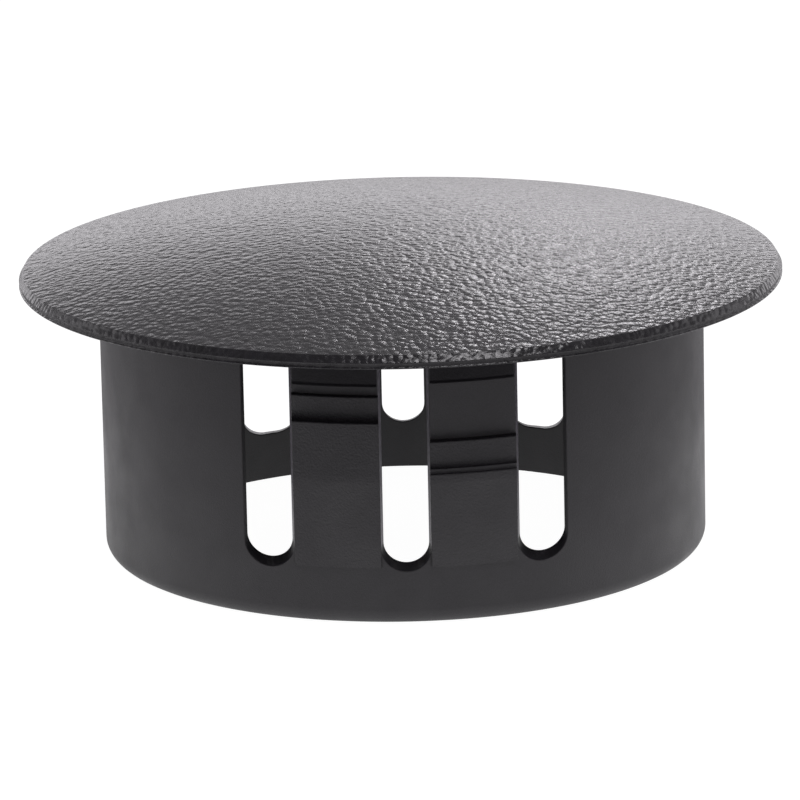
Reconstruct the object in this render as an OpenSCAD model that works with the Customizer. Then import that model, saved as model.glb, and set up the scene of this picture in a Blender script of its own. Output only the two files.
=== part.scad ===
// Snap-in domed plug for a round hole in a desk top or a sheet panel.
// It is one nylon moulding: a domed cover with a thin rim, and a slotted skirt that carries
// four latch fingers. The model divides it where each part of it has its own job.
// Millimetres, +Z up. The origin is the centre of the skirt's open end, and -Y is the front.

/* [Skirt] */
// Outer diameter of the skirt, which drops into the panel's hole
skirt_d = 24.9; // [24.4:0.1:25.2]
// Wall thickness of the skirt
wall_t = 0.87; // [0.85:0.01:0.95]
// Length of the skirt, from the rim's seating face to the open end
skirt_l = 11.5; // [11.3:0.1:14]
// Radius of the lead-in round at the open end
lead_r = 0.65; // [0.4:0.05:0.7]
// Moulding draft of the skirt above its ring, as growth of its radius per unit of height
wall_draft = 0.002; // [0.001:0.001:0.006]

/* [Cover] */
// Outer diameter of the cover and its rim
head_d = 31.4; // [30:0.1:34]
// Height of the rim's upright edge
rim_t = 0.4; // [0.3:0.05:0.8]
// Diameter of the panel's hole, where the rim's seating face starts
hole_d = 25.4; // [25.4:0.1:25.8]
// Rise of the dome above the rim
dome_rise = 1.6; // [1.4:0.1:3]
// Thickness of the dome at its middle
dome_t = 0.9; // [0.8:0.05:1.2]

/* [Slots and fingers] */
// Width of each slot at the skirt's outer face
slot_w = 2; // [1.6:0.1:2.2]
// Width of each finger at the skirt's outer face
finger_w = 3.45; // [3.2:0.05:3.6]
// Depth of the front slots' rounded ends below the seating face
slot_l = 9.25; // [9:0.05:9.5]
// Depth of the rear slots' rounded ends below the seating face
rear_slot_l = 9.65; // [9.25:0.05:9.7]
// Extra width of the rear side slots, away from the fingers
rear_extra_w = 0.5; // [0.3:0.05:0.6]
// Draft of the slots' side walls, as narrowing per unit of depth
draft = 0.1; // [0.05:0.05:0.35]
// Gap between the fingers' free ends and the seating face
finger_gap = 0.55; // [0.3:0.05:0.8]

/* [Latch lugs] */
// Radius of the fingers' thin end tabs
tab_r = 12.15; // [12.05:0.05:12.2]
// Depth of the foot of the end tab below the seating face
tab_l = 1.6; // [1.3:0.05:1.7]
// Radius of the neck between the end tab and the lug
neck_r = 12.28; // [12.2:0.01:12.4]
// Radius at the crest of the lowest ledge
crest_r = 13.05; // [12.9:0.05:13.3]
// Radius of the step between a lug's two ledges
step_r = 12.62; // [12.55:0.01:12.8]
// Radius of the lugs where they run out at the fingers' roots
foot_r = 12.57; // [12.5:0.01:12.7]
// Depth of the upper ledge on the fingers for thin panels
thin_upper = 2.05; // [1.85:0.05:2.2]
// Depth of the lower ledge on the fingers for thin panels
thin_lower = 3; // [2.8:0.05:3.4]
// Depth of the upper ledge on the fingers for thick panels
thick_upper = 3.9; // [3.7:0.05:4.2]
// Depth of the lower ledge on the fingers for thick panels
thick_lower = 5.15; // [4.9:0.05:5.2]
// Depth at which the crest starts to run in towards the root
ramp_l = 5.3; // [5.25:0.05:6]

/* [Living hinges] */
// Radius of the rolling bead at a finger's root
bead_r = 0.27; // [0.24:0.01:0.27]
// Clearance round the bead
bead_fit = 0.03; // [0.02:0.01:0.03]
// Height of the gap between a finger's shoulders and the ring
shoulder_gap = 0.08; // [0.07:0.01:0.1]

/* [Hidden] */
$fn = 96;
e = 0.01;
skirt_r = skirt_d / 2;
bore_r = skirt_r - wall_t;
head_r = head_d / 2;
hole_r = hole_d / 2;
seat_z = skirt_l;
dome_z = seat_z + rim_t;
top_z = dome_z + dome_rise;
// Radius of the sphere whose cap has this rise over this half width
function cap_radius(half, rise) = (half * half + rise * rise) / (2 * rise);
dome_sphere_r = cap_radius(head_r, dome_rise);
hollow_rise = dome_rise - dome_t;
hollow_sphere_r = cap_radius(bore_r, hollow_rise);
// Slot and finger places along X
slot_pitch = slot_w + finger_w;
inner_x = slot_w / 2;
outer_x = inner_x + finger_w;
window_x = outer_x + slot_w;
// Place of a point of the skirt's outer face at this X
function face_y(x) = -sqrt(skirt_r * skirt_r - x * x);
side_slot_y = (face_y(outer_x) + face_y(window_x)) / 2;
side_slot_x = slot_pitch + draft * (face_y(window_x) - face_y(outer_x)) / 2;
front_end_z = seat_z - slot_l + slot_w / 2;
rear_end_z = seat_z - rear_slot_l + slot_w / 2;
// The root line, where a finger meets the ring, just above the slots' lowest points
root_z = seat_z - slot_l + 0.15;
finger_top_z = seat_z - finger_gap;
finger_root_z = root_z + shoulder_gap / 2;
ring_top_z = root_z - shoulder_gap / 2;
// The hinge bead lies along the tangent at the middle of the finger
finger_mid_x = (inner_x + outer_x) / 2;
finger_angle = asin(finger_mid_x / skirt_r);
hinge_rho = bore_r + wall_t / 2 - 0.065;
bead_l = finger_w - 0.15;
// How far a slot's cutter reaches in from the skirt's outer face
slot_reach = 1.94;
// Y of other cuts through the front of the skirt, from outside the lugs to inside the bore
cut_y0 = -(crest_r + 1);
cut_y1 = -(bore_r - 4);
resin = [0.13, 0.13, 0.14];
lug_resin = [0.17, 0.17, 0.18];

// Outline of a tapered slot seen from above, as half width against Y
function slot_half(y, y_ref) = slot_w / 2 - draft * (y - y_ref);

// One slot: a tapered prism with a rounded, tapered end centred at end_z
module slot_cut(x, y_ref, end_z) {
    y_end = y_ref + slot_reach;
    translate([x, 0, 0]) {
        translate([0, 0, end_z])
            linear_extrude(height = seat_z - end_z)
                polygon([
                    [-slot_half(cut_y0, y_ref), cut_y0],
                    [slot_half(cut_y0, y_ref), cut_y0],
                    [slot_half(y_end, y_ref), y_end],
                    [-slot_half(y_end, y_ref), y_end]
                ]);
        translate([0, cut_y0, end_z])
            rotate([-90, 0, 0])
                cylinder(
                    h = y_end - cut_y0,
                    r1 = slot_half(cut_y0, y_ref),
                    r2 = slot_half(y_end, y_ref)
                );
    }
}

module middle_slot(end_z) {
    slot_cut(0, face_y(inner_x), end_z);
}

module side_slot(side, end_z) {
    slot_cut(side * side_slot_x, side_slot_y, end_z);
}

// The part of the rear side slots that widens them
module rear_extra(side) {
    slot_cut(side * (side_slot_x + rear_extra_w), side_slot_y, rear_end_z);
}

// The three slots of one group, drawn at the front
module slot_group(end_z) {
    middle_slot(end_z);
    side_slot(-1, end_z);
    side_slot(1, end_z);
}

// The slots of both groups
module all_slots() {
    slot_group(front_end_z);
    rotate([0, 0, 180]) {
        slot_group(rear_end_z);
        rear_extra(-1);
        rear_extra(1);
    }
}

// Something in the front group, and again turned to the back
module both_sides() {
    children();
    rotate([0, 0, 180]) children();
}

// Radius of the skirt's outer face at a height above its ring
function drafted_r(z) = skirt_r + wall_draft * (z - ring_top_z);

// Plain tube of the skirt between two heights, with its moulding draft
module skirt_tube(z0, z1) {
    difference() {
        translate([0, 0, z0]) cylinder(r1 = drafted_r(z0), r2 = drafted_r(z1), h = z1 - z0);
        translate([0, 0, z0 - 1]) cylinder(r = bore_r, h = z1 - z0 + 2);
    }
}

// Straight tube inside the skirt's thickness, out to this radius
module inner_tube(r, z0, z1) {
    difference() {
        translate([0, 0, z0]) cylinder(r = r, h = z1 - z0);
        translate([0, 0, z0 - 1]) cylinder(r = bore_r, h = z1 - z0 + 2);
    }
}

// The dome, and the collar that joins it to the skirt inside the panel's hole
module domed_cover() {
    color(resin) {
        inner_tube(hole_r, seat_z, dome_z);
        difference() {
            intersection() {
                translate([0, 0, top_z - dome_sphere_r]) sphere(r = dome_sphere_r, $fn = 256);
                translate([0, 0, dome_z]) cylinder(r = head_r, h = dome_rise + 1);
            }
            intersection() {
                translate([0, 0, dome_z + hollow_rise - hollow_sphere_r])
                    sphere(r = hollow_sphere_r, $fn = 256);
                translate([0, 0, dome_z - 1]) cylinder(r = bore_r, h = dome_rise + 1);
            }
        }
    }
}

// The flat rim that seats on the panel, from the edge of the panel's hole outwards
module rim_flange() {
    color(resin)
        difference() {
            translate([0, 0, seat_z]) cylinder(r = head_r, h = rim_t);
            translate([0, 0, seat_z - 1]) cylinder(r = hole_r, h = rim_t + 2);
        }
}

// One plain side of the skirt, between the front and the back slots
module plain_wall(side) {
    color(resin)
        difference() {
            intersection() {
                skirt_tube(root_z, seat_z);
                translate([side * (slot_pitch + skirt_r), 0, 0])
                    cube([2 * skirt_r, 2 * skirt_r + 2, 4 * skirt_l], center = true);
            }
            all_slots();
            both_sides() window();
        }
}

// The space of the whole finger group as far out as the middles of the side slots
module window() {
    translate([-side_slot_x, cut_y0, root_z - 1])
        cube([2 * side_slot_x, cut_y1 - cut_y0, skirt_l]);
}

module left_wall() {
    plain_wall(-1);
}

module right_wall() {
    plain_wall(1);
}

// Places its children, drawn about the hinge bead's axis, at one front finger's root
module at_root(side) {
    rotate([0, 0, side * finger_angle])
        translate([0, -hinge_rho, ring_top_z])
            children();
}

module bead(r, l) {
    rotate([0, 90, 0]) cylinder(r = r, h = l, center = true);
}

// The closed ring at the open end, with its lead-in round and the seats of the hinge beads
module lead_in_ring() {
    color(resin)
        difference() {
            union() {
                translate([0, 0, lead_r]) cylinder(r = skirt_r, h = root_z - lead_r);
                cylinder(r = skirt_r - lead_r, h = lead_r + e);
                rotate_extrude() translate([skirt_r - lead_r, lead_r]) circle(r = lead_r);
            }
            translate([0, 0, -1]) cylinder(r = bore_r, h = skirt_l);
            all_slots();
            both_sides() for (side = [-1, 1]) {
                root_cut(side);
                at_root(side) bead(bead_r + bead_fit, bead_l + 4 * bead_fit);
            }
        }
}

// Takes the ring's top edge down by the shoulder gap under one finger
module root_cut(side) {
    low_x = side > 0 ? 0 : -side_slot_x;
    translate([low_x, cut_y0, ring_top_z])
        cube([side_slot_x, cut_y1 - cut_y0, skirt_l]);
}

// Front-view block of one finger, with its free corners rounded
module corner_block(x0, x1, r_inner, r_outer) {
    depth = cut_y1 - cut_y0;
    translate([0, cut_y0, 0]) {
        translate([x0, 0, 0]) cube([x1 - x0, depth, finger_top_z - max(r_inner, r_outer)]);
        translate([x0 + r_inner, 0, 0])
            cube([x1 - x0 - r_inner - r_outer, depth, finger_top_z]);
        translate([x0 + r_inner, 0, finger_top_z - r_inner])
            rotate([-90, 0, 0]) cylinder(r = r_inner, h = depth);
        translate([x1 - r_outer, 0, finger_top_z - r_outer])
            rotate([-90, 0, 0]) cylinder(r = r_outer, h = depth);
    }
}

// The flexible finger itself, between two slots, with its thin end tab and its hinge bead.
// It is drawn at the front right. Its lug starts at upper, and the slots end at end_z.
module finger_beam(upper, corner_in, corner_out, end_z) {
    grow = draft * wall_t;
    color(resin) {
        difference() {
            intersection() {
                union() {
                    skirt_tube(finger_root_z, seat_z - upper);
                    inner_tube(neck_r, seat_z - upper - e, seat_z - tab_l);
                    inner_tube(tab_r, finger_root_z, finger_top_z);
                }
                union() {
                    corner_block(inner_x - grow, outer_x + grow, corner_in, corner_out);
                    translate([0, cut_y0, finger_root_z])
                        cube([side_slot_x, cut_y1 - cut_y0, skirt_l / 2]);
                }
                translate([0, cut_y0, finger_root_z])
                    cube([side_slot_x, cut_y1 - cut_y0, skirt_l]);
            }
            middle_slot(end_z);
            side_slot(1, end_z);
        }
        at_root(1) bead(bead_r, bead_l);
        at_root(1)
            translate([-bead_l / 2, -bead_r, 0]) cube([bead_l, 2 * bead_r, shoulder_gap + e]);
    }
}

// The stepped lug on a finger's outer face, from its ledges down to where it runs out
module finger_lug(upper, lower) {
    color(lug_resin)
        intersection() {
            rotate_extrude()
                polygon([
                    [drafted_r(finger_root_z), finger_root_z],
                    [foot_r, finger_root_z],
                    [crest_r, seat_z - ramp_l],
                    [crest_r, seat_z - lower],
                    [step_r, seat_z - lower],
                    [step_r, seat_z - upper],
                    [drafted_r(seat_z - upper), seat_z - upper]
                ]);
            translate([inner_x, cut_y0, 0]) cube([finger_w, cut_y1 - cut_y0, skirt_l]);
        }
}

// The fingers with low ledges stand front left and rear right, the others across from them
module thin_finger(end_z) {
    mirror([1, 0, 0]) finger_beam(thin_upper, 0.45, 0.2, end_z);
}

module thick_finger(end_z) {
    finger_beam(thick_upper, 0.25, 0.25, end_z);
}

module thin_lug() {
    mirror([1, 0, 0]) finger_lug(thin_upper, thin_lower);
}

module thick_lug() {
    finger_lug(thick_upper, thick_lower);
}

module front_left_finger() {
    thin_finger(front_end_z);
}

module front_right_finger() {
    thick_finger(front_end_z);
}

module rear_right_finger() {
    rotate([0, 0, 180]) thin_finger(rear_end_z);
}

module rear_left_finger() {
    rotate([0, 0, 180]) thick_finger(rear_end_z);
}

module front_left_lug() {
    thin_lug();
}

module front_right_lug() {
    thick_lug();
}

module rear_right_lug() {
    rotate([0, 0, 180]) thin_lug();
}

module rear_left_lug() {
    rotate([0, 0, 180]) thick_lug();
}

domed_cover();
rim_flange();
left_wall();
right_wall();
lead_in_ring();
front_left_finger();
front_right_finger();
rear_left_finger();
rear_right_finger();
front_left_lug();
front_right_lug();
rear_left_lug();
rear_right_lug();
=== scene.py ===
"""Snap-in domed hole plug for a desk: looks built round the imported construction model.

It is laid out as a Blender add-on and run as a script. Lengths are metres, +Z is up, the plug
stands on its skirt at the origin and its front faces -Y.
"""

import math

import bpy
import numpy as np
from mathutils import Matrix, Vector, noise


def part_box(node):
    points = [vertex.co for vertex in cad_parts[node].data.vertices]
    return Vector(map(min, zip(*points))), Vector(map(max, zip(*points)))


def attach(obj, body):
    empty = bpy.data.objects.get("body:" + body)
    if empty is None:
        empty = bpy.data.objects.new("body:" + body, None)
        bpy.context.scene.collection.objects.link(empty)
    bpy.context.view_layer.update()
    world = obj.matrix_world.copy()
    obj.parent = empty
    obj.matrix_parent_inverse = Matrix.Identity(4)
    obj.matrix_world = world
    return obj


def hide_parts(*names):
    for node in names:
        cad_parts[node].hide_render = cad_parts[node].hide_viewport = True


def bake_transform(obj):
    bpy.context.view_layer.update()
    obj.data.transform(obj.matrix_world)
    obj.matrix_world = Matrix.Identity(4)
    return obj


bl_info = {
    "name": "Domed Hole Plug",
    "version": (1, 0, 0),
    "blender": (4, 5, 0),
    "location": "View3D > Sidebar > Hole Plug",
    "description": "Builds the skin of a snap-in domed hole plug round its construction model",
    "category": "Add Mesh",
}

MM = 0.001
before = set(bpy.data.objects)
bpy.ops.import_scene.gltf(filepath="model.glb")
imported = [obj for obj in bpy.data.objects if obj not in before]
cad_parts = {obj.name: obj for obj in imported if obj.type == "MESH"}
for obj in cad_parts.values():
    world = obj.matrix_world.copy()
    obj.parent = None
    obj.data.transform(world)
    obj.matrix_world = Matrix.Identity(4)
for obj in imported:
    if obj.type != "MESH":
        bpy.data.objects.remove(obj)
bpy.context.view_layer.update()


# Lowest and highest corners of the construction nodes that the skin is measured from
RIM_LOW, RIM_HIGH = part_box("rim_flange")
LUG_LOW, LUG_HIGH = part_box("front_right_lug")
HEAD_R = RIM_HIGH.x
SEAT_Z = RIM_LOW.z
RIM_TOP_Z = RIM_HIGH.z
TOP_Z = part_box("domed_cover")[1].z
SKIRT_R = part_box("lead_in_ring")[1].x
# A finger's straight sides, and the slot beyond it, along X
FINGER_IN_X = LUG_LOW.x
FINGER_OUT_X = LUG_HIGH.x
SLOT_HALF = FINGER_IN_X
SLOT_PITCH = FINGER_OUT_X + SLOT_HALF
CREST_R = math.hypot(LUG_LOW.y, FINGER_IN_X)
FINGER_TOP_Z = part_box("front_right_finger")[1].z
# Height of the upper ledge, on fingers for thick and for thin panels
LEDGE_Z = {False: LUG_HIGH.z, True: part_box("front_left_lug")[1].z}
TURN = Matrix.Rotation(math.pi, 4, "Z")


class PlugSizes(bpy.types.PropertyGroup):
    """Sizes of the skin that the construction model leaves plain."""

    wall: bpy.props.FloatProperty(
        name="Wall", description="Thickness of the skirt's wall",
        default=0.87 * MM, unit="LENGTH", precision=6,
    )
    lead_in: bpy.props.FloatProperty(
        name="Lead-in", description="Radius of the round at the skirt's open end",
        default=0.65 * MM, unit="LENGTH", precision=6,
    )
    slot_depth: bpy.props.FloatProperty(
        name="Slot Depth", description="Depth of the front slots below the seating face",
        default=9.25 * MM, unit="LENGTH", precision=6,
    )
    rear_slot_depth: bpy.props.FloatProperty(
        name="Rear Slot Depth", description="Depth of the rear slots below the seating face",
        default=9.65 * MM, unit="LENGTH", precision=6,
    )
    rear_extra: bpy.props.FloatProperty(
        name="Rear Extra", description="Extra width of the rear side slots, away from the fingers",
        default=0.5 * MM, unit="LENGTH", precision=6,
    )
    rim_drop: bpy.props.FloatProperty(
        name="Rim Drop", description="How far the rim's edge turns down past the seating face",
        default=0.11 * MM, unit="LENGTH", precision=6,
    )
    edge: bpy.props.FloatProperty(
        name="Edge Round", description="Radius that the mould leaves on outside edges",
        default=0.05 * MM, unit="LENGTH", precision=6,
    )
    draft: bpy.props.FloatProperty(
        name="Draft", description="How much a slot's rounded end closes in, per unit of depth",
        default=0.2,
    )
    side_draft: bpy.props.FloatProperty(
        name="Side Draft", description="Share of that draft on a slot's straight sides",
        default=0.6,
    )
    tab_foot: bpy.props.FloatProperty(
        name="Tab Foot", description="Radius of a finger's end tab at its foot",
        default=12.2 * MM, unit="LENGTH", precision=6,
    )
    tab_tip: bpy.props.FloatProperty(
        name="Tab Tip", description="Radius of a finger's end tab at its tip",
        default=11.88 * MM, unit="LENGTH", precision=6,
    )
    root_line: bpy.props.FloatProperty(
        name="Root Line", description="Depth of the lugs' lower ends below the seating face",
        default=9.08 * MM, unit="LENGTH", precision=6,
    )
    lug_foot: bpy.props.FloatProperty(
        name="Lug Foot", description="How far a lug stands proud of the skirt at its lower end",
        default=0.12 * MM, unit="LENGTH", precision=6,
    )
    grain: bpy.props.FloatProperty(
        name="Grain", description="Spacing of the pebble grain moulded into the cover",
        default=0.28 * MM, unit="LENGTH", precision=6,
    )
    grain_height: bpy.props.FloatProperty(
        name="Grain Height", description="Height of the pebble grain moulded into the cover",
        default=0.009 * MM, unit="LENGTH", precision=6,
    )
    cover_step: bpy.props.FloatProperty(
        name="Cover Step", description="Spacing of the cover's mesh",
        default=0.115 * MM, unit="LENGTH", precision=6,
    )


class PlugColours(bpy.types.PropertyGroup):
    """Colours of the resin, as sRGB hex."""

    resin: bpy.props.StringProperty(
        name="Resin", description="Black nylon as moulded, sRGB hex", default="#151317",
    )
    bloom: bpy.props.StringProperty(
        name="Bloom", description="Greyer resin where the mould's surface is rougher, sRGB hex",
        default="#1d1b20",
    )
    # Painted reflection: the next two greys are painted on the fingers' sides that face the slots,
    # standing in for the white surroundings those sides reflect at a grazing angle
    side_reflection_grey: bpy.props.StringProperty(
        name="Side Reflection Grey", description="Hazy resin on the slots' sides, sRGB hex", default="#636067",
    )
    side_reflection_pale_grey: bpy.props.StringProperty(
        name="Side Reflection Pale Grey", description="Palest resin on the slots' sides, sRGB hex",
        default="#7b7880",
    )
    floor: bpy.props.StringProperty(
        name="Floor", description="Studio floor, sRGB hex", default="#f4f4f4",
    )
    floor_pale: bpy.props.StringProperty(
        name="Floor Pale", description="Palest spots of the studio floor, sRGB hex",
        default="#f6f6f6",
    )


def sizes():
    """The sizes that the operators build from."""
    return bpy.context.scene.plug_sizes


def colours():
    """The colours that the materials start from."""
    return bpy.context.scene.plug_colours


# ---------------------------------------------------------------- mesh building


class Skin:
    """Collects faces with a normal at each corner and joins the corners that fall together."""

    def __init__(self):
        self.corners = []
        self.normals = []
        self.counts = []

    def face(self, points, normals):
        """One face, from its corners in order and a normal for each."""
        self.corners.extend(tuple(p) for p in points)
        self.normals.extend(tuple(n) for n in normals)
        self.counts.append(len(points))

    def flat(self, points, normal):
        """One flat face, turned so that it looks along normal."""
        area = Vector((0.0, 0.0, 0.0))
        first = Vector(points[0])
        for a, b in zip(points[1:], points[2:]):
            area += (Vector(a) - first).cross(Vector(b) - first)
        if area.dot(Vector(normal)) < 0:
            points = list(reversed(points))
        self.face(points, [normal] * len(points))

    def grid(self, points, normals):
        """Quads over arrays of points and normals, rows by columns, turned to their normals."""
        points = np.asarray(points, float)
        normals = np.asarray(normals, float)
        a, b, c, d = points[:-1, :-1], points[:-1, 1:], points[1:, 1:], points[1:, :-1]
        facing = np.cross(c - a, d - b)
        outward = (facing * normals[:-1, :-1]).sum(-1).sum() > 0
        quads = np.stack([a, b, c, d], 2).reshape(-1, 4, 3)
        around = np.stack(
            [normals[:-1, :-1], normals[:-1, 1:], normals[1:, 1:], normals[1:, :-1]], 2
        ).reshape(-1, 4, 3)
        if not outward:
            quads, around = quads[:, ::-1], around[:, ::-1]
        for quad, lean in zip(quads, around):
            keep = [i for i in range(4) if np.abs(quad[i] - quad[i - 1]).max() > 1e-9]
            if len(keep) > 2:
                self.face(quad[keep], lean[keep])

    def add(self, other, factors):
        """Takes in another skin, with its coordinates multiplied by factors."""
        self.corners += [tuple(np.multiply(c, factors)) for c in other.corners]
        self.normals += [tuple(np.multiply(n, factors)) for n in other.normals]
        self.counts += other.counts

    def build(self, name):
        """Makes the object."""
        corners = np.array(self.corners)
        _, first, index = np.unique(
            np.round(corners, 8), axis=0, return_index=True, return_inverse=True
        )
        index = index.reshape(-1)
        verts = corners[first]
        faces, at = [], 0
        for count in self.counts:
            faces.append(index[at:at + count].tolist())
            at += count
        mesh = bpy.data.meshes.new(name)
        mesh.from_pydata(verts.tolist(), [], faces)
        mesh.polygons.foreach_set("use_smooth", [True] * len(faces))
        lean = np.array(self.normals)
        lean /= np.maximum(np.linalg.norm(lean, axis=1, keepdims=True), 1e-12)
        mesh.normals_split_custom_set(lean.tolist())
        obj = bpy.data.objects.new(name, mesh)
        bpy.context.scene.collection.objects.link(obj)
        return obj


def unit(v):
    """Vectors along the last axis, brought to length 1."""
    v = np.asarray(v, float)
    return v / np.maximum(np.linalg.norm(v, axis=-1, keepdims=True), 1e-12)


def on_front(x, radius, z):
    """Points of the front half of a cylinder round Z, from X, its radius and Z."""
    x, radius, z = np.broadcast_arrays(x, radius, z)
    return np.stack([x, -np.sqrt(np.maximum(radius**2 - x**2, 0)), z], -1)


def outward(points):
    """Directions away from the Z axis at these points."""
    points = np.asarray(points, float)
    out = points.copy()
    out[..., 2] = 0
    return unit(out)


def filleted(corners, steps=6):
    """A polyline of (across, up) corners with a radius each, rounded there.

    Returns its points and the normal on its right-hand side at each.
    """
    places = [np.array(c[:2], float) for c in corners]
    points, normals = [], []
    for i, (place, corner) in enumerate(zip(places, corners)):
        before = unit(place - places[i - 1]) if i else None
        after = unit(places[i + 1] - place) if i + 1 < len(places) else None
        turns = [d for d in (before, after) if d is not None]
        if len(turns) < 2 or corner[2] <= 0:
            for d in turns:
                points.append(place)
                normals.append((d[1], -d[0]))
            continue
        bend = math.acos(float(np.clip(before @ after, -1, 1)))
        reach = corner[2] * math.tan(bend / 2)
        start = place - before * reach
        left = before[0] * after[1] - before[1] * after[0] > 0
        side = np.array((-before[1], before[0])) if left else np.array((before[1], -before[0]))
        centre = start + side * corner[2]
        for k in range(steps + 1):
            a = bend * k / steps * (1 if left else -1)
            turned = np.array((
                math.cos(a) * before[0] - math.sin(a) * before[1],
                math.sin(a) * before[0] + math.cos(a) * before[1],
            ))
            arm = np.array((turned[1], -turned[0])) * (1 if left else -1)
            points.append(centre + arm * corner[2])
            normals.append((turned[1], -turned[0]))
    return np.array(points), np.array(normals)


# ---------------------------------------------------------------- slots' side walls


def slot_stations(edge, inner_r, outer_r):
    """Steps through a slot's side wall, from the outer face to the inner face.

    Each is how far it lies back from the slot's outline, how deep under the outer face, and
    its normal as (away from the material, outward).
    """
    s = sizes()
    wall = outer_r - inner_r
    lean = math.atan(s.draft)
    stations = []
    for k in range(4):
        a = math.pi / 2 * k / 3
        stations.append((edge * (1 - math.sin(a)), edge * (1 - math.cos(a)),
                         (math.sin(a), math.cos(a))))
    side = (math.cos(lean), math.sin(lean))
    stations[-1] = (0.0, edge, side)
    deep = wall - edge
    stations.append((-s.draft * (deep - edge), deep, side))
    closed = s.draft * (deep - edge)
    for k in range(1, 4):
        a = math.pi / 2 * k / 3
        stations.append((-closed + edge * (1 - math.cos(a)), deep + edge * math.sin(a),
                         (math.cos(a), -math.sin(a))))
    return stations


def moved(x, z, away, back):
    """An outline's points moved back into the material. Straight sides close in less."""
    across = back if back > 0 else back * sizes().side_draft
    return x - away[:, 0] * across, z - away[:, 1] * back


def wall_strip(skin, x, z, away, outer_r, stations):
    """The side wall along an outline, and its loops of points.

    x, z and away give the outline and the direction off the material at each of its points.
    """
    away = np.asarray(away, float)
    rows, leans = [], []
    for back, depth, (off, out) in stations:
        px, pz = moved(x, z, away, back)
        points = on_front(px, outer_r - depth, pz)
        radial = outward(points)
        tangent = np.stack([-radial[:, 1], radial[:, 0], np.zeros(len(points))], -1)
        lean = tangent * away[:, :1] * off + radial * out
        lean[:, 2] += away[:, 1] * off
        rows.append(points)
        leans.append(lean)
    rows, leans = np.array(rows), unit(leans)
    skin.grid(rows, leans)
    return rows


# ---------------------------------------------------------------- pieces


def spaced(low, high, step):
    """Evenly spaced values from low to high, about a step apart."""
    return np.linspace(low, high, max(2, int(round(abs(high - low) / step)) + 1))


def slot_end(turned):
    """Height of the centre of the slots' rounded ends, at the front or turned to the back."""
    s = sizes()
    return SEAT_Z - (s.rear_slot_depth if turned < 0 else s.slot_depth) + SLOT_HALF


ARC = np.linspace(0, math.pi, 33)
STUB_COLUMNS = 13


def widened(x, k, angles, turn):
    """A slot's outline, with the outer half of a rear side slot moved away from the fingers."""
    outer = k * -np.cos(angles) > 1e-9
    return x + k * outer * (sizes().rear_extra if turn < 0 else 0.0)


def group_columns(back, turn):
    """X of the columns across one finger group, and the height where the face ends at each."""
    slot_z = slot_end(turn)
    at = (np.array([SLOT_HALF]), np.array([SLOT_HALF]), np.array([(-1.0, -1.0)]))
    half, down = (float(v[0]) for v in moved(*at, back))
    xs, tops = [], []
    for k in (-1, 0, 1):
        centre = k * SLOT_PITCH
        xs.append(widened(centre - half * np.cos(ARC), k, ARC, turn))
        tops.append(slot_z - down * np.sin(ARC))
        if k < 1:
            stub = np.linspace(centre + half, centre + SLOT_PITCH - half, STUB_COLUMNS)[1:-1]
            xs.append(stub)
            tops.append(np.full(len(stub), slot_z))
    return np.concatenate(xs), np.concatenate(tops)


def band_profile(outer, radius, band_z, edge):
    """Outline of the ring below the slots, as radius, height and normal, down to its end."""
    s = sizes()
    if outer:
        turns = np.linspace(0, math.pi / 2, 9)
        return [(radius, band_z, (1, 0))] + [
            (radius - s.lead_in * (1 - math.cos(t)), s.lead_in * (1 - math.sin(t)),
             (math.cos(t), -math.sin(t))) for t in turns
        ]
    return [(radius, band_z, (-1, 0)), (radius, edge, (-1, 0))] + [
        (radius + edge * (1 - math.cos(t)), edge * (1 - math.sin(t)),
         (-math.cos(t), -math.sin(t))) for t in np.linspace(0, math.pi / 2, 4)[1:]
    ]


def skirt_face(skin, outer, back, radius, band_z):
    """One face of the skirt, outer or inner. Returns the loops of points along its ends."""
    sign = 1 if outer else -1
    low_share = np.linspace(0, 1, 7)[:, None]
    loops, groups, walls = {}, {}, {}
    for turn in (1, -1):
        xs, tops = group_columns(back, turn)
        rows_z = band_z + (tops - band_z) * low_share
        points = on_front(np.broadcast_to(xs, rows_z.shape), radius, rows_z) * (turn, turn, 1)
        skin.grid(points, outward(points) * sign)
        loops["group", turn] = points[-1]
        groups[turn] = np.arcsin(xs / radius)
    for turn in (1, -1):
        angles = np.linspace(groups[turn][-1], math.pi - groups[-turn][-1], 91)
        walls[turn] = angles[1:-1]
        ends = [slot_end(turn), slot_end(-turn)]
        share = np.linspace(0, 1, len(angles))
        low = ends[0] + (ends[1] - ends[0]) * share
        heights = [band_z + (low - band_z) * v for v in low_share[:, 0]]
        heights += [low + (SEAT_Z - low) * v for v in np.linspace(0, 1, 15)[1:]]
        side = np.stack(np.broadcast_arrays(
            turn * radius * np.sin(angles), -turn * radius * np.cos(angles), np.array(heights),
        ), -1)
        skin.grid(side, outward(side) * sign)
        loops["wall", turn] = side[-1]
    around = np.concatenate([
        groups[1], walls[1], groups[-1] + math.pi, walls[-1] + math.pi,
        groups[1][:1] + 2 * math.pi,
    ])
    profile = band_profile(outer, radius, band_z, sizes().edge)
    ring = np.array([
        [(r * math.sin(a), -r * math.cos(a), z) for a in around] for r, z, _ in profile
    ])
    lean = np.array([
        [(n[0] * math.sin(a), -n[0] * math.cos(a), n[1]) for a in around] for _, _, n in profile
    ])
    skin.grid(ring, lean)
    loops["end"] = ring[-1]
    return loops


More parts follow.
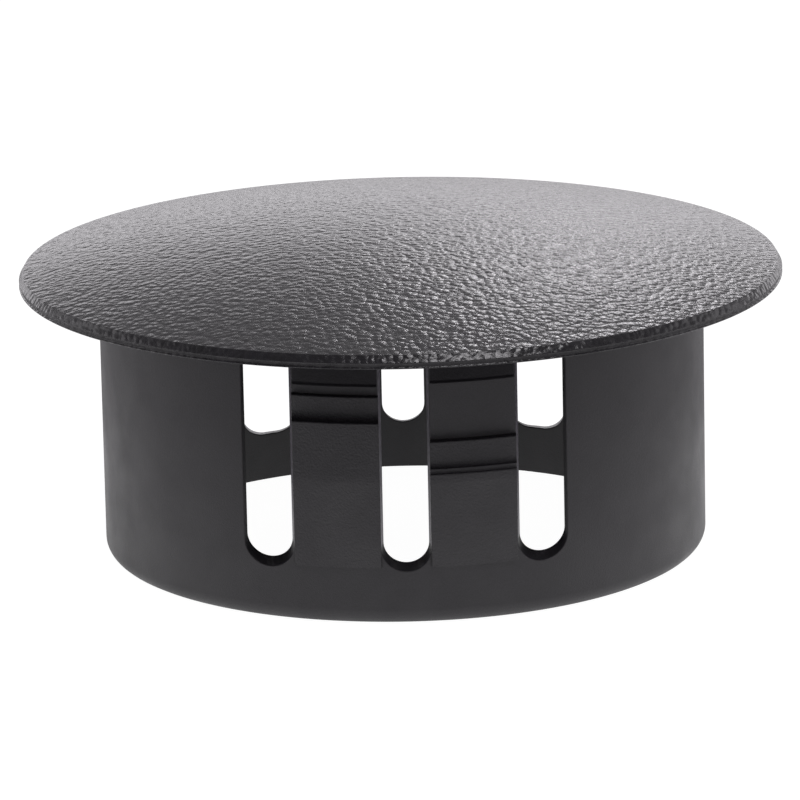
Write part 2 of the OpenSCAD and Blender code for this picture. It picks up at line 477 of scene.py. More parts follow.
def slot_outline(k, turn):
    """Outline of one slot and the directions off the material along it."""
    slot_z = slot_end(turn)
    angles = ARC[::-1] if k == 1 else ARC
    x = widened(k * SLOT_PITCH - SLOT_HALF * np.cos(angles), k, angles, turn)
    z = slot_z - SLOT_HALF * np.sin(angles)
    away = np.stack([np.cos(angles), np.sin(angles)], -1)
    if k:
        share = np.linspace(0, 1, 15)[:0:-1]
        straight = np.full(len(share), x[0])
        x = np.concatenate([straight, x])
        z = np.concatenate([slot_z + (SEAT_Z - slot_z) * share, z])
        away = np.concatenate([np.tile((-k, 0.0), (len(share), 1)), away])
    return x, z, away


def build_skirt():
    """The slotted skirt: plain sides, closed ring, lead-in round and the fingers' roots."""
    s = sizes()
    skin = Skin()
    inner_r = SKIRT_R - s.wall
    stations = slot_stations(s.edge, inner_r, SKIRT_R)
    band_z = SEAT_Z - s.rear_slot_depth - 0.2 * MM
    outer = skirt_face(skin, True, stations[0][0], SKIRT_R, band_z)
    inner = skirt_face(skin, False, stations[-1][0], inner_r, band_z)
    end = np.array([outer["end"], inner["end"]])
    skin.grid(end, np.broadcast_to((0, 0, -1.0), end.shape))
    up = (0.0, 0.0, 1.0)
    stub_start = len(ARC) - 1
    stub_step = len(ARC) + STUB_COLUMNS - 2
    for turn in (1, -1):
        tops = np.array([outer["wall", turn], inner["wall", turn]])
        skin.grid(tops, np.broadcast_to(up, tops.shape))
        for start in (stub_start, stub_start + stub_step):
            stop = start + STUB_COLUMNS
            pair = np.array([outer["group", turn][start:stop], inner["group", turn][start:stop]])
            skin.grid(pair, np.broadcast_to(up, pair.shape))
        for k in (-1, 0, 1):
            piece = Skin()
            rows = wall_strip(piece, *slot_outline(k, turn), SKIRT_R, stations)
            piece.flat(rows[:, 0], up)
            piece.flat(rows[:, -1], up)
            skin.add(piece, (turn, turn, 1))
    return skin.build("skirt")


FINGERS = {
    # place: (mirrored to the left, turned to the back, ledges for thin panels, corner radii)
    "front_left": (True, False, True, (0.42 * MM, 0.15 * MM)),
    "front_right": (False, False, False, (0.26 * MM, 0.26 * MM)),
    "rear_right": (True, True, True, (0.42 * MM, 0.15 * MM)),
    "rear_left": (False, True, False, (0.26 * MM, 0.26 * MM)),
}


def turned_place(mirrored, turned):
    """Matrix that takes a front right finger to its own place."""
    place = Matrix.Identity(4)
    if mirrored:
        place = Matrix.Scale(-1, 4, (1, 0, 0)) @ place
    if turned:
        place = TURN @ place
    return place


def place_skin(skin, place):
    """Moves a skin's corners and normals by a matrix, and turns its faces over if it mirrors."""
    m = np.array(place.to_3x3())
    skin.corners = [tuple(m @ np.array(c)) for c in skin.corners]
    skin.normals = [tuple(m @ np.array(n)) for n in skin.normals]
    if np.linalg.det(m) < 0:
        at = 0
        for count in skin.counts:
            skin.corners[at:at + count] = skin.corners[at:at + count][::-1]
            skin.normals[at:at + count] = skin.normals[at:at + count][::-1]
            at += count


# Radius of a finger's neck, between its end tab and its lug
NECK_R = 12.28 * MM
# How far below the upper ledge the beam reaches the skirt's own radius, hidden by the lug
UNDER_LUG = 0.1 * MM
# Round on a lug's side edges, and how deep the lug is let into its finger
LUG_EDGE = 0.035 * MM
LUG_BURY = 0.3 * MM
# Depth of the foot of the end tab, on fingers for thick and for thin panels
TAB_FOOT = {False: 1.56 * MM, True: 1.66 * MM}


def beam_radius(z, thin):
    """Outer radius of a finger's beam at a height: end tab, neck, then under its lug."""
    s = sizes()
    depth = SEAT_Z - z
    under = SEAT_Z - LEDGE_Z[thin] + UNDER_LUG
    foot = TAB_FOOT[thin]
    return np.interp(
        depth,
        [SEAT_Z - FINGER_TOP_Z, foot - 0.03 * MM, foot + 0.04 * MM, under, under + 0.08 * MM],
        [s.tab_tip, s.tab_foot, NECK_R, NECK_R, SKIRT_R],
    )


def build_beam(name, mirrored, turned, thin, corners):
    """One flexible finger: straight sides, a rounded free end and a thin end tab."""
    s = sizes()
    skin = Skin()
    edge, inner_r = s.edge, SKIRT_R - s.wall
    stations = slot_stations(edge, inner_r, SKIRT_R)
    low_z = slot_end(-1 if turned else 1)
    breaks = [SEAT_Z - TAB_FOOT[thin] - d * MM for d in (-0.09, -0.06, -0.03, 0, 0.04, 0.07, 0.1)]
    under = LEDGE_Z[thin] - UNDER_LUG
    low_rows = np.concatenate([
        spaced(low_z, under - 0.08 * MM, 0.25 * MM), [under],
        spaced(under, breaks[-1], 0.2 * MM)[1:-1], breaks[::-1],
    ])
    corner_z = FINGER_TOP_Z - max(corners)
    low_rows = np.concatenate([low_rows, spaced(breaks[0], corner_z, 0.1 * MM)[1:]])
    turns = np.linspace(0, math.pi / 2, 9)
    left_r, right_r = corners
    left_x = np.concatenate([
        np.full(len(low_rows), FINGER_IN_X), FINGER_IN_X + left_r * (1 - np.cos(turns))
    ])
    right_x = np.concatenate([
        np.full(len(low_rows), FINGER_OUT_X), FINGER_OUT_X - right_r * (1 - np.cos(turns))
    ])
    left_z = np.concatenate([low_rows, FINGER_TOP_Z - left_r * (1 - np.sin(turns))])
    right_z = np.concatenate([low_rows, FINGER_TOP_Z - right_r * (1 - np.sin(turns))])
    left_n = np.concatenate([
        np.tile((-1.0, 0.0), (len(low_rows), 1)), np.stack([-np.cos(turns), np.sin(turns)], -1)
    ])
    right_n = left_n * (-1, 1)
    top_x = spaced(left_x[-1], right_x[-1], 0.25 * MM)[1:-1]
    x = np.concatenate([left_x, top_x, right_x[::-1]])
    z = np.concatenate([left_z, np.full(len(top_x), FINGER_TOP_Z), right_z[::-1]])
    away = np.concatenate([left_n, np.tile((0.0, 1.0), (len(top_x), 1)), right_n[::-1]])

    def loop(back, depth):
        px, pz = moved(x, z, away, back)
        outer = beam_radius(np.minimum(pz, FINGER_TOP_Z), thin)
        share = depth / s.wall
        return px, pz, outer - (outer - inner_r) * share

    rows, leans = [], []
    for back, depth, (off, out) in stations:
        px, pz, radius = loop(back, depth)
        points = on_front(px, radius, pz)
        radial = outward(points)
        tangent = np.stack([-radial[:, 1], radial[:, 0], np.zeros(len(points))], -1)
        lean = tangent * away[:, :1] * off + radial * out
        lean[:, 2] += away[:, 1] * off
        rows.append(points)
        leans.append(lean)
    rows, leans = np.array(rows), unit(leans)
    skin.grid(rows, leans)
    for at, sign in ((0, 1), (-1, -1)):
        back = stations[at][0]
        left = np.stack(moved(left_x, left_z, left_n, back), -1)
        right = np.stack(moved(right_x, right_z, right_n, back), -1)
        columns = len(top_x) + 2
        share = np.linspace(0, 1, columns)[:, None, None]
        plan = left * (1 - share) + right * share
        radius = beam_radius(plan[..., 1], thin) if sign > 0 else inner_r
        face = on_front(plan[..., 0], radius, plan[..., 1])
        lean = outward(face)
        if sign > 0:
            step = 1e-6
            slope = (beam_radius(plan[..., 1] + step, thin)
                     - beam_radius(plan[..., 1] - step, thin)) / (2 * step)
            lean[..., 2] = -slope
            lean = unit(lean)
        skin.grid(face, lean * sign)
    down = (0.0, 0.0, -1.0)
    ends = np.array([
        on_front(np.linspace(row[0][0], row[-1][0], len(top_x) + 2), radius, low_z)
        for row, radius in ((rows[0], SKIRT_R), (rows[-1], inner_r))
    ])
    skin.grid(ends, np.broadcast_to(down, ends.shape))
    skin.flat(rows[:, 0], down)
    skin.flat(rows[:, -1], down)
    place_skin(skin, turned_place(mirrored, turned))
    return skin.build(name)


def lug_profile(thin):
    """Outline of a lug from its lower end up, as (radius, height) corners with their rounds."""
    s = sizes()
    foot_z = SEAT_Z - s.root_line
    foot_r = SKIRT_R + s.lug_foot
    if thin:
        step_r = 12.58 * MM
        steps = [
            (CREST_R, SEAT_Z - 5.35 * MM, 3.0 * MM),
            (CREST_R, SEAT_Z - 3.0 * MM, 0.06 * MM),
            (step_r, SEAT_Z - 2.985 * MM, 0.36 * MM),
            (step_r, LEDGE_Z[thin], 0.06 * MM),
            (NECK_R - 0.03 * MM, LEDGE_Z[thin] + 0.015 * MM, 0.0),
        ]
    else:
        step_r = 12.66 * MM
        lip_r = 12.9 * MM
        steps = [
            (CREST_R, SEAT_Z - 5.45 * MM, 1.6 * MM),
            (CREST_R, SEAT_Z - 5.14 * MM, 0.06 * MM),
            (lip_r, SEAT_Z - 5.13 * MM, 0.02 * MM),
            (lip_r, SEAT_Z - 4.95 * MM, 0.03 * MM),
            (step_r, SEAT_Z - 4.94 * MM, 0.22 * MM),
            (step_r, LEDGE_Z[thin], 0.06 * MM),
            (NECK_R - 0.03 * MM, LEDGE_Z[thin] + 0.01 * MM, 0.0),
        ]
    return [(foot_r, foot_z, 0.0)] + steps


def build_lug(name, mirrored, turned, thin):
    """One stepped latch lug on a finger's outer face."""
    skin = Skin()
    edge = LUG_EDGE
    back_r = SKIRT_R - LUG_BURY
    points, normals = filleted(lug_profile(thin))
    fine_points, fine_normals = [points[0]], [normals[0]]
    for a, b, na, nb in zip(points, points[1:], normals, normals[1:]):
        count = max(1, int(np.linalg.norm(b - a) / (0.25 * MM)))
        for k in range(1, count + 1):
            fine_points.append(a + (b - a) * k / count)
            fine_normals.append(na + (nb - na) * k / count)
    profile, lean = np.array(fine_points), unit(fine_normals)
    rounds = np.linspace(0, math.pi / 2, 4)
    low_x, high_x = FINGER_IN_X, FINGER_OUT_X
    columns = [(low_x + edge * (1 - math.sin(a)), math.sin(a), -1) for a in rounds[::-1]]
    columns += [(x, 0.0, 0) for x in np.linspace(low_x + edge, high_x - edge, 13)[1:-1]]
    columns += [(high_x - edge * (1 - math.sin(a)), math.sin(a), 1) for a in rounds]
    grid, leans = [], []
    for x, off, side in columns:
        sunk = edge * (1 - math.sqrt(max(0.0, 1 - off * off)))
        radius = profile[:, 0] - sunk * lean[:, 0]
        height = profile[:, 1] - sunk * lean[:, 1]
        column = on_front(np.full(len(radius), x), radius, height)
        radial = outward(column)
        out = math.sqrt(max(0.0, 1 - off * off))
        normal = radial * lean[:, :1] * out
        normal[:, 2] += lean[:, 1] * out
        normal[:, 0] += side * off
        grid.append(column)
        leans.append(normal)
    skin.grid(grid, unit(leans))
    for column, side in ((grid[0], -1), (grid[-1], 1)):
        x = column[0][0]
        back = on_front(np.full(len(column), x), back_r, column[:, 2])
        skin.grid([column, back], np.broadcast_to((side, 0, 0.0), (2, len(column), 3)))
    xs = np.array([c[0][0] for c in grid])
    for row, up in ((0, -1), (-1, 1)):
        top = np.array([c[row] for c in grid])
        back = on_front(xs, back_r, top[:, 2])
        skin.grid([top, back], np.broadcast_to((0, 0, float(up)), (2, len(xs), 3)))
    heights = np.array([c[:, 2] for c in grid])
    rear = on_front(np.broadcast_to(xs[:, None], heights.shape), back_r, heights)
    skin.grid(rear, -outward(rear))
    place_skin(skin, turned_place(mirrored, turned))
    return skin.build(name)


# How far the rim's upright edge stands back from its widest radius, and the rounds on it
RIM_INSET = 0.15 * MM
RIM_EDGE = 0.06 * MM
RIM_BEAD = 0.03 * MM
# How far the bevel under the dome's edge reaches down, and the lean of its face
RIM_BEVEL = 0.27 * MM
RIM_TILT = math.radians(38)
# Thickness of the dome at its middle, and the fillet where its hollow meets the bore
DOME_WALL = 0.9 * MM
HOLLOW_FILLET = 0.25 * MM
# Width of the band at the dome's edge where the grain dies away
GRAIN_FADE = 0.15 * MM


def pebble(x, y, grain, height):
    """Height of the moulded pebble grain at a place: rounded stones with narrow valleys."""
    near = noise.voronoi(Vector((x / grain, y / grain, 3.7)))[0]
    valley = min(1.0, (near[1] - near[0]) / 0.45)
    swell = noise.noise(Vector((x / grain * 0.43, y / grain * 0.43, 9.1)))
    return height * (valley * (2 - valley) - 0.6 + 0.5 * swell)


def dome_plan(face_r, rings):
    """Rings of points seen from above, each with six more than the last, and where each starts."""
    points, starts = [(0.0, 0.0)], [0]
    for k in range(1, rings + 1):
        starts.append(len(points))
        r = face_r * k / rings
        for j in range(6 * k):
            a = 2 * math.pi * j / (6 * k)
            points.append((r * math.sin(a), -r * math.cos(a)))
    return np.array(points), starts


def dome_faces(starts):
    """Triangles between neighbouring rings of the dome's plan."""
    faces = []
    for k in range(1, len(starts)):
        inner, outer, n, m = starts[k - 1], starts[k], 6 * (k - 1), 6 * k
        i = j = 0
        while i < n or j < m:
            step_in = i < n and (j >= m or (i + 1) * m <= (j + 1) * n)
            a = inner + (i % n if n else 0)
            b = outer + j % m
            if step_in:
                faces.append((a, b, inner + (i + 1) % n))
                i += 1
            else:
                faces.append((a, b, outer + (j + 1) % m))
                j += 1
    return np.array(faces)


def tilts(co, faces):
    """Cross product of each face's sides: along its normal, twice its area long."""
    tri = co[faces]
    return np.cross(tri[:, 1] - tri[:, 0], tri[:, 2] - tri[:, 0])


def quarter(steps, start=1):
    """Angles of a quarter turn in equal steps."""
    return [math.pi / 2 * k / steps for k in range(start, steps + 1)]


def lathe(skin, angles, first, first_lean, profile):
    """Sweeps rings of (radius, height, out, up) round Z, on from a first row. Returns the last."""
    rows, leans = [first], [np.broadcast_to(first_lean, first.shape)]
    sine, cosine = np.sin(angles), np.cos(angles)
    for r, height, out, up in profile:
        rows.append(np.stack([r * sine, -r * cosine, np.full(len(angles), height)], -1))
        leans.append(np.stack([out * sine, -out * cosine, np.full(len(angles), up)], -1))
    skin.grid(rows, leans)
    return rows[-1]


def rim_profile(top_z, slope):
    """Rings of the rim from the dome's edge down: round, bevel, groove and lower bead."""
    low = SEAT_Z - sizes().rim_drop
    step_z = RIM_TOP_Z - RIM_BEVEL
    round_r = HEAD_R - RIM_INSET - RIM_EDGE
    rings = []
    for k in range(1, 5):
        a = RIM_TILT + (math.pi / 2 - slope - RIM_TILT) * (1 - k / 4)
        rings.append((round_r + RIM_EDGE * math.cos(a), top_z - RIM_EDGE + RIM_EDGE * math.sin(a),
                      math.cos(a), math.sin(a)))
    rings += [
        (HEAD_R - 0.015 * MM, step_z + 0.025 * MM, 0.79, 0.61), (HEAD_R, step_z, 1, 0),
        (HEAD_R - 0.03 * MM, step_z - 0.03 * MM, 0.8, -0.6),
        (HEAD_R - 0.06 * MM, step_z - 0.05 * MM, 0.97, -0.2),
        (HEAD_R - 0.065 * MM, low + 0.085 * MM, 1, 0.1),
        (HEAD_R - 0.04 * MM, low + 0.065 * MM, 0.6, 0.8),
        (HEAD_R - 0.01 * MM, low + 0.05 * MM, 0.8, 0.6), (HEAD_R, low + RIM_BEAD, 1, 0),
    ]
    return rings + [
        (HEAD_R - RIM_BEAD * (1 - math.cos(a)), low + RIM_BEAD * (1 - math.sin(a)),
         math.cos(a), -math.sin(a)) for a in quarter(3)
    ]


def seat_profile(inner_r):
    """Rings of the rim's underside, from its turned-down edge in to the skirt's bore."""
    low = SEAT_Z - sizes().rim_drop
    return [
        (HEAD_R - 0.22 * MM, low, 0, -1), (HEAD_R - 0.22 * MM, low, -0.35, -1),
        (HEAD_R - 0.55 * MM, SEAT_Z, -0.35, -1), (HEAD_R - 0.55 * MM, SEAT_Z, 0, -1),
        (inner_r, SEAT_Z, 0, -1),
    ]


def hollow_profile(inner_r, rise):
    """Rings of the hollow under the dome, from the bore's fillet to the middle."""
    fillet_r = inner_r - HOLLOW_FILLET
    hollow = rise - DOME_WALL
    hollow_r = (inner_r**2 + hollow**2) / (2 * hollow)
    drop = hollow_r - math.sqrt(hollow_r**2 - fillet_r**2)
    rings = [
        (inner_r - HOLLOW_FILLET * (1 - math.cos(a)),
         RIM_TOP_Z - HOLLOW_FILLET + HOLLOW_FILLET * math.sin(a), -math.cos(a), -math.sin(a))
        for a in quarter(6, 0)
    ]
    for r in np.linspace(fillet_r, 0, 24)[1:]:
        height = RIM_TOP_Z + drop - (hollow_r - math.sqrt(hollow_r**2 - r * r))
        out = r / hollow_r
        rings.append((r, height, out, -math.sqrt(1 - out * out)))
    return rings


def build_cover():
    """The domed cover with its pebble grain, and the thin rim with its groove and bead."""
    s = sizes()
    skin = Skin()
    rise = TOP_Z - RIM_TOP_Z
    dome_r = (HEAD_R**2 + rise**2) / (2 * rise)
    face_r = HEAD_R - RIM_INSET - RIM_EDGE
    rings = int(round(face_r / s.cover_step))
    plan, starts = dome_plan(face_r, rings)
    radius = np.hypot(plan[:, 0], plan[:, 1])
    z = TOP_Z - dome_r + np.sqrt(dome_r**2 - radius**2) - s.grain_height
    fade = np.clip((face_r - radius) / GRAIN_FADE, 0, 1)
    z += fade * np.array([pebble(x, y, s.grain, s.grain_height) for x, y in plan])
    co = np.column_stack([plan, np.minimum(z, TOP_Z)])
    faces = dome_faces(starts)
    over = tilts(co, faces)[:, 2] < 0
    faces[over] = faces[over][:, ::-1]
    up = tilts(co, faces)
    lean = np.zeros_like(co)
    for c in range(3):
        np.add.at(lean, faces[:, c], up)
    lean = unit(lean)
    for f in faces:
        skin.face(co[f], lean[f])
    last = starts[rings]
    around = np.arange(6 * rings + 1) % (6 * rings)
    angles = 2 * math.pi * around / (6 * rings)
    rim = rim_profile(co[last, 2], math.asin(HEAD_R / dome_r))
    row = lathe(skin, angles, co[last:][around], lean[last:][around], rim)
    inner_r = SKIRT_R - s.wall
    row = lathe(skin, angles, row, (0, 0, -1.0), seat_profile(inner_r))
    inward = np.stack([-np.sin(angles), np.cos(angles), np.zeros(len(angles))], -1)
    lathe(skin, angles, row, inward, hollow_profile(inner_r, rise))
    return skin.build("cover")


# ---------------------------------------------------------------- materials


def linear(hex_colour):
    """Linear RGBA from an sRGB hex colour."""
    parts = [int(hex_colour[i:i + 2], 16) / 255 for i in (1, 3, 5)]
    return [c / 12.92 if c <= 0.04045 else ((c + 0.055) / 1.055) ** 2.4 for c in parts] + [1.0]


def add_node(tree, kind, settings=None, inputs=None, links=None):
    """Adds one node with its settings, its input values and its links."""
    node = tree.nodes.new(kind)
    for key, value in (settings or {}).items():
        setattr(node, key, value)
    for key, value in (inputs or {}).items():
        node.inputs[key].default_value = value
    for key, source in (links or {}).items():
        tree.links.new(source, node.inputs[key])
    return node


def new_material(name):
    """An empty node material and its tree."""
    material = bpy.data.materials.new(name)
    material.use_nodes = True
    material.node_tree.nodes.clear()
    return material, material.node_tree


def ramp(tree, source, stops):
    """A colour ramp between two or more (place, grey) stops."""
    node = add_node(tree, "ShaderNodeValToRGB", links={"Fac": source})
    elements = node.color_ramp.elements
    while len(elements) < len(stops):
        elements.new(0.5)
    for element, (place, value) in zip(elements, stops):
        element.position = place
        element.color = value if isinstance(value, (list, tuple)) else (value, value, value, 1)
    return node


def pebbled_nylon():
    """Black nylon 66 moulded against a pebble-grained tool: glints on stones, dull in valleys."""
    s, c = sizes(), colours()
    material, tree = new_material("pebbled_nylon_moulded")
    place = add_node(tree, "ShaderNodeTexCoord").outputs["Object"]
    stones = add_node(
        tree, "ShaderNodeTexVoronoi",
        {"feature": "SMOOTH_F1", "voronoi_dimensions": "3D"},
        {"Scale": 1 / s.grain, "Smoothness": 0.35, "Randomness": 1.0}, {"Vector": place},
    )
    fine = add_node(
        tree, "ShaderNodeTexNoise", inputs={"Scale": 2.2 / s.grain, "Detail": 3.0},
        links={"Vector": place},
    )
    broad = add_node(
        tree, "ShaderNodeTexNoise", inputs={"Scale": 0.25 / s.grain, "Detail": 4.0},
        links={"Vector": place},
    )
    bump = add_node(
        tree, "ShaderNodeBump", {"invert": True},
        {"Strength": 1.0, "Distance": 0.036 * MM}, {"Height": stones.outputs["Distance"]},
    )
    bump = add_node(
        tree, "ShaderNodeBump", None, {"Strength": 1.0, "Distance": 0.01 * MM},
        {"Height": fine.outputs["Fac"], "Normal": bump.outputs["Normal"]},
    )
    rough = ramp(tree, fine.outputs["Fac"], [(0.35, 0.2), (0.65, 0.29)])
    tone = ramp(tree, broad.outputs["Fac"],
                [(0.35, linear(c.resin)), (0.7, linear(c.bloom))])
    shader = add_node(
        tree, "ShaderNodeBsdfPrincipled", None, {"IOR": 1.53, "Metallic": 0.0},
        {"Base Color": tone.outputs["Color"], "Roughness": rough.outputs["Color"],
         "Normal": bump.outputs["Normal"]},
    )
    add_node(tree, "ShaderNodeOutputMaterial", links={"Surface": shader.outputs["BSDF"]})
    return material


def eroded_nylon(name, low_rough, high_rough, grain, depth):
    """Black nylon 66 moulded against a spark-eroded tool: an even satin with a fine tooth."""
    c = colours()
    material, tree = new_material(name)
    place = add_node(tree, "ShaderNodeTexCoord").outputs["Object"]
    tooth = add_node(
        tree, "ShaderNodeTexNoise", inputs={"Scale": 1 / grain, "Detail": 4.0, "Roughness": 0.6},
        links={"Vector": place},
    )
    cloud = add_node(
        tree, "ShaderNodeTexNoise", inputs={"Scale": 1 / (1.8 * MM), "Detail": 3.0},
        links={"Vector": place},
    )
    bump = add_node(
        tree, "ShaderNodeBump", None, {"Strength": 1.0, "Distance": depth},
        {"Height": tooth.outputs["Fac"]},
    )
    rough = ramp(tree, cloud.outputs["Fac"], [(0.35, low_rough), (0.65, high_rough)])
    tone = ramp(tree, tooth.outputs["Fac"], [(0.35, linear(c.resin)), (0.7, linear(c.bloom))])
    shader = add_node(
        tree, "ShaderNodeBsdfPrincipled", None, {"IOR": 1.53, "Metallic": 0.0},
        {"Base Color": tone.outputs["Color"], "Roughness": rough.outputs["Color"],
         "Normal": bump.outputs["Normal"]},
    )
    add_node(tree, "ShaderNodeOutputMaterial", links={"Surface": shader.outputs["BSDF"]})
    return material


def painted_slot_side_reflection():
    """Black nylon on the slots' sides, painted pale: a painted reflection of the white
    surroundings.
    """
    c = colours()
    material, tree = new_material("nylon_slot_side_painted_reflection")
    place = add_node(tree, "ShaderNodeTexCoord").outputs["Object"]
    streak = add_node(tree, "ShaderNodeTexNoise", inputs={"Scale": 1 / (0.25 * MM), "Detail": 3.0},
                      links={"Vector": place})
    # Painted reflection: pale greys that vary in patches, in place of light glancing off the sides
    tone = ramp(tree, streak.outputs["Fac"],
                [(0.35, linear(c.side_reflection_grey)), (0.65, linear(c.side_reflection_pale_grey))])
    shader = add_node(
        tree, "ShaderNodeBsdfPrincipled", None, {"IOR": 1.53, "Roughness": 0.4, "Metallic": 0.0},
        {"Base Color": tone.outputs["Color"]},
    )
    add_node(tree, "ShaderNodeOutputMaterial", links={"Surface": shader.outputs["BSDF"]})
    return material


def studio_white():
    """Matt white board. It takes the plug's shadow, shows as white and glows round the plug."""
    c = colours()
    material, tree = new_material("matt_white_board")
    place = add_node(tree, "ShaderNodeTexCoord").outputs["Object"]
    tooth = add_node(tree, "ShaderNodeTexNoise", inputs={"Scale": 1 / (2 * MM), "Detail": 2.0},
                     links={"Vector": place})
    tone = ramp(tree, tooth.outputs["Fac"],
                [(0.3, linear(c.floor)), (0.7, linear(c.floor_pale))])
    board = add_node(tree, "ShaderNodeBsdfDiffuse", links={"Color": tone.outputs["Color"]})
    shade = add_node(tree, "ShaderNodeBsdfDiffuse", None, {"Color": (0.16, 0.16, 0.16, 1)})
    glow = add_node(tree, "ShaderNodeEmission", None,
                    {"Color": (1, 1, 1, 1), "Strength": 0.98})
    seen = add_node(tree, "ShaderNodeAddShader")
    tree.links.new(shade.outputs[0], seen.inputs[0])
    tree.links.new(glow.outputs[0], seen.inputs[1])
    # Painted light: for all rays but the camera's the board glows round the plug, fading from 18
    # mm out to 36 mm, and so lights the plug though it is no lamp
    reach = add_node(tree, "ShaderNodeVectorMath", {"operation": "LENGTH"},
                     links={"Vector": place})
    fall = add_node(
        tree, "ShaderNodeMapRange", {"interpolation_type": "SMOOTHSTEP"},
        {"From Min": 18 * MM, "From Max": 36 * MM, "To Min": 0.66, "To Max": 0.0},
        {"Value": reach.outputs["Value"]},
    )
    painted_glow = add_node(tree, "ShaderNodeEmission", None, {"Color": (1, 1, 1, 1)},
                    {"Strength": fall.outputs["Result"]})
    bright = add_node(tree, "ShaderNodeAddShader")
    tree.links.new(board.outputs[0], bright.inputs[0])
    tree.links.new(painted_glow.outputs[0], bright.inputs[1])
    ray = add_node(tree, "ShaderNodeLightPath")
    pick = add_node(tree, "ShaderNodeMixShader", links={"Fac": ray.outputs["Is Camera Ray"]})
    tree.links.new(bright.outputs[0], pick.inputs[1])
    tree.links.new(seen.outputs[0], pick.inputs[2])
    add_node(tree, "ShaderNodeOutputMaterial", links={"Surface": pick.outputs[0]})
    return material


def finish_piece(piece, material):
    """Gives a piece its material, in its one material slot."""
    piece.data.materials.clear()
    piece.data.materials.append(material)


# ---------------------------------------------------------------- operators


class PLUG_OT_cover(bpy.types.Operator):
    """Build the domed cover with its thin rim"""

    bl_idname = "plug.cover"
    bl_label = "Cover"

    def execute(self, context):
        piece = build_cover()
        finish_piece(piece, pebbled_nylon())
        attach(piece, "root")
        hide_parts("domed_cover", "rim_flange")
        return {"FINISHED"}


class PLUG_OT_skirt(bpy.types.Operator):
    """Build the slotted skirt with its closed ring"""

    bl_idname = "plug.skirt"
    bl_label = "Skirt"

    def execute(self, context):
        piece = build_skirt()
        material = eroded_nylon("satin_nylon_moulded", 0.42, 0.5, 0.06 * MM, 0.012 * MM)
        finish_piece(piece, material)
        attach(piece, "root")
        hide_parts("left_wall", "right_wall", "lead_in_ring")
        return {"FINISHED"}


def bend_at_root(piece):
    """Bakes a piece's placement into its mesh."""
    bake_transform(piece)


class PLUG_OT_fingers(bpy.types.Operator):
    """Build the four flexible fingers"""

    bl_idname = "plug.fingers"
    bl_label = "Fingers"

    def execute(self, context):
        material = eroded_nylon("satin_nylon_finger", 0.42, 0.5, 0.06 * MM, 0.012 * MM)
        side_reflection_material = painted_slot_side_reflection()
        for place, (mirrored, turned, thin, corners) in FINGERS.items():
            piece = build_beam(place + "_beam", mirrored, turned, thin, corners)
            finish_piece(piece, material)
            piece.data.materials.append(side_reflection_material)
            # Faces that look along X, the fingers' sides at the slots, take the painted pale
            # reflection
            for polygon in piece.data.polygons:
                polygon.material_index = int(abs(polygon.normal.x) > 0.85)
            bend_at_root(piece)
            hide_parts(place + "_finger")
        return {"FINISHED"}


class PLUG_OT_lugs(bpy.types.Operator):
    """Build the four stepped latch lugs"""

    bl_idname = "plug.lugs"
    bl_label = "Lugs"

    def execute(self, context):
        material = eroded_nylon("eroded_nylon_lug", 0.46, 0.56, 0.09 * MM, 0.036 * MM)
        for place, (mirrored, turned, thin, _) in FINGERS.items():
            piece = build_lug(place + "_latch_lug", mirrored, turned, thin)
            finish_piece(piece, material)
            bend_at_root(piece)
            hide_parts(place + "_lug")
        return {"FINISHED"}


CAMERA_RISE = math.radians(14.78)
CAMERA_ROLL = math.radians(1.209)
CAMERA_DISTANCE = 280.9 * MM
CAMERA_LENS_MM = 305.4
CAMERA_AIM = Vector((-0.133 * MM, 0, -5.48 * MM))


# The lamps' and the room's faint violet, as linear RGBA
STUDIO_TINT = (0.99, 0.965, 1.0, 1.0)
# Name, place, aim, width and height in metres, and radiance
LAMPS = (
    ("back_screen", (0.0, 1.2, 0.17), (0.0, 0.0, 0.1), (2.4, 0.36), 1.22),
    ("back_lamp", (0.06, 0.54, 0.26), (0.008, 0.0, 0.01), (0.06, 0.05), 12.5),
    ("top_box", (0.15, 0.35, 0.55), (0.0, 0.0, 0.01), (0.35, 0.25), 0.5),
    ("rim_lamp", (0.12, -0.22, 0.45), (0.0, 0.0, 0.01), (0.2, 0.1), 10.0),
    ("left_screen", (-1.0, 0.1, 0.2), (0.0, 0.0, 0.05), (1.2, 0.8), 0.8),
    ("right_screen", (1.0, 0.1, 0.2), (0.0, 0.0, 0.05), (1.2, 0.8), 0.8),
    ("front_strip", (0.0, -0.7, 0.42), (0.0, 0.0, 0.01), (0.5, 0.12), 0.6),
)


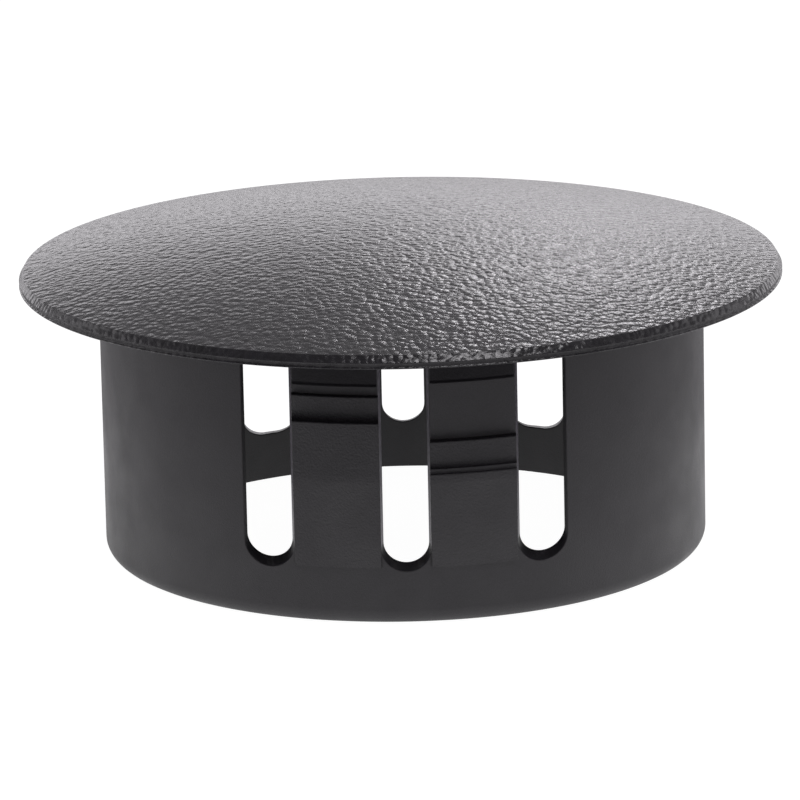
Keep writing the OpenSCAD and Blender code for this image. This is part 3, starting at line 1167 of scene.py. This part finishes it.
class PLUG_OT_stage(bpy.types.Operator):
    """Set up the floor, the soft studio light and the camera"""

    bl_idname = "plug.stage"
    bl_label = "Stage"

    def execute(self, context):
        scene = context.scene
        half = 2.0
        mesh = bpy.data.meshes.new("floor")
        mesh.from_pydata([(-half, -half, 0), (half, -half, 0), (half, half, 0), (-half, half, 0)],
                         [], [(0, 1, 2, 3)])
        floor = bpy.data.objects.new("floor", mesh)
        scene.collection.objects.link(floor)
        floor.location.z = -0.01 * MM
        floor.data.materials.append(studio_white())
        world = bpy.data.worlds.new("studio")
        scene.world = world
        world.use_nodes = True
        tree = world.node_tree
        tree.nodes.clear()
        ray = add_node(tree, "ShaderNodeLightPath")
        way = add_node(tree, "ShaderNodeTexCoord").outputs["Generated"]
        along = add_node(tree, "ShaderNodeSeparateXYZ", links={"Vector": way}).outputs["Y"]
        depth = add_node(
            tree, "ShaderNodeMapRange", None,
            {"From Min": -0.4, "From Max": 0.3, "To Min": 0.2, "To Max": 0.42}, {"Value": along},
        )
        around = add_node(tree, "ShaderNodeBackground", None, {"Color": STUDIO_TINT},
                          {"Strength": depth.outputs["Result"]})
        seen = add_node(tree, "ShaderNodeBackground", None,
                        {"Color": (1, 1, 1, 1), "Strength": 1.0})
        mix = add_node(tree, "ShaderNodeMixShader", links={"Fac": ray.outputs["Is Camera Ray"]})
        tree.links.new(around.outputs[0], mix.inputs[1])
        tree.links.new(seen.outputs[0], mix.inputs[2])
        add_node(tree, "ShaderNodeOutputWorld", links={"Surface": mix.outputs[0]})
        for name, place, aim, size, glow in LAMPS:
            data = bpy.data.lights.new(name, "AREA")
            data.shape = "RECTANGLE"
            data.size, data.size_y = size
            data.energy = glow * math.pi * size[0] * size[1]
            data.color = STUDIO_TINT[:3]
            lamp = bpy.data.objects.new(name, data)
            scene.collection.objects.link(lamp)
            lamp.location = place
            lamp.rotation_euler = (Vector(aim) - Vector(place)).to_track_quat("-Z", "Y").to_euler()
        camera = bpy.data.objects.new("camera", bpy.data.cameras.new("camera"))
        scene.collection.objects.link(camera)
        aim = CAMERA_AIM + Vector((0, 0, SEAT_Z))
        back = Vector((0, -math.cos(CAMERA_RISE), math.sin(CAMERA_RISE)))
        camera.location = aim + back * CAMERA_DISTANCE
        turn = (-back).to_track_quat("-Z", "Y").to_matrix().to_4x4()
        roll = Matrix.Rotation(-CAMERA_ROLL, 4, "Z")
        camera.matrix_world = Matrix.Translation(camera.location) @ turn @ roll
        camera.data.lens = CAMERA_LENS_MM
        camera.data.sensor_width = 36
        camera.data.clip_start = 0.01
        camera.data.clip_end = 20
        scene.camera = camera
        scene.view_settings.view_transform = "Standard"
        return {"FINISHED"}


class PLUG_PT_panel(bpy.types.Panel):
    """Sizes, colours and the steps that build the plug"""

    bl_label = "Hole Plug"
    bl_idname = "PLUG_PT_panel"
    bl_space_type = "VIEW_3D"
    bl_region_type = "UI"
    bl_category = "Hole Plug"

    def draw(self, context):
        layout = self.layout
        for group in (context.scene.plug_sizes, context.scene.plug_colours):
            box = layout.box()
            for name in group.__annotations__:
                box.prop(group, name)
        for operator in OPERATORS:
            layout.operator(operator.bl_idname)


OPERATORS = (PLUG_OT_stage, PLUG_OT_cover, PLUG_OT_skirt, PLUG_OT_fingers, PLUG_OT_lugs)
CLASSES = (PlugSizes, PlugColours, *OPERATORS, PLUG_PT_panel)


def register():
    """Registers the classes and the scene's own settings."""
    for cls in CLASSES:
        bpy.utils.register_class(cls)
    bpy.types.Scene.plug_sizes = bpy.props.PointerProperty(type=PlugSizes)
    bpy.types.Scene.plug_colours = bpy.props.PointerProperty(type=PlugColours)


def unregister():
    """Takes them away again."""
    del bpy.types.Scene.plug_colours
    del bpy.types.Scene.plug_sizes
    for cls in reversed(CLASSES):
        bpy.utils.unregister_class(cls)


def main():
    """Builds the whole plug."""
    register()
    bpy.ops.plug.stage()
    bpy.ops.plug.cover()
    bpy.ops.plug.skirt()
    bpy.ops.plug.fingers()
    bpy.ops.plug.lugs()


if __name__ == "__main__":
    main()
